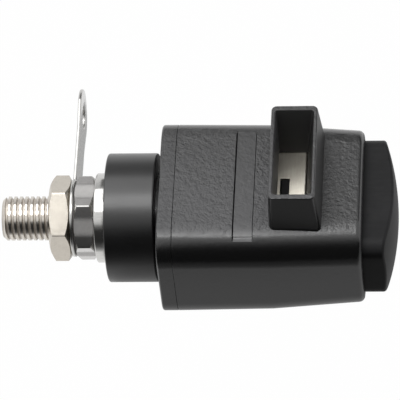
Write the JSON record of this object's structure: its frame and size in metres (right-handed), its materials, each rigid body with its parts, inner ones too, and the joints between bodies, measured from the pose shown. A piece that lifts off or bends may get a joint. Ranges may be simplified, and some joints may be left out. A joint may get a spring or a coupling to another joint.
{
  "type": "quick pressure clamp terminal",
  "caption": "Panel terminal with a push-button wire clamp: black housing with a wire funnel, threaded stud, insulating collar, washer, hex nuts and solder lug.",
  "frame": {"origin": "on the stud's axis, at the base plate's face that seats on the panel", "axes": "+X along the stud from the thread to the push button, +Z out of the wide face with the wire funnel, +Y across that face"},
  "size_m": [0.0528, 0.032, 0.0227],
  "materials": {
    "housing_plastic": "moulded, fine spark-eroded grain",
    "button_plastic": "moulded, smooth",
    "bright_nickel": "nickel plated, bright",
    "polished_nickel": "nickel plated, polished",
    "satin_nickel": "nickel plated, satin",
    "tinned_brass": "tin plated sheet",
    "spring_steel": "drawn wire"
  },
  "bodies": {
    "terminal": {"housing": "housing_plastic", "base_plate": "housing_plastic", "clamp_spring": "spring_steel", "contact_jaw": "bright_nickel", "threaded_stud": "bright_nickel", "insulating_collar": "housing_plastic", "washer": "bright_nickel", "panel_nut": "polished_nickel", "solder_lug": "tinned_brass", "lug_nut": "satin_nickel"},
    "button": {"push_button": "button_plastic", "clamp_stirrup": "tinned_brass"}
  },
  "joints": [
    {"name": "button_press", "type": "slide", "parent": "terminal", "child": "button", "axis": [-1, 0, 0], "range_m": [0, 0.0038], "stiffness_N_per_m": 1500, "deforming": ["clamp_spring"]}
  ]
}
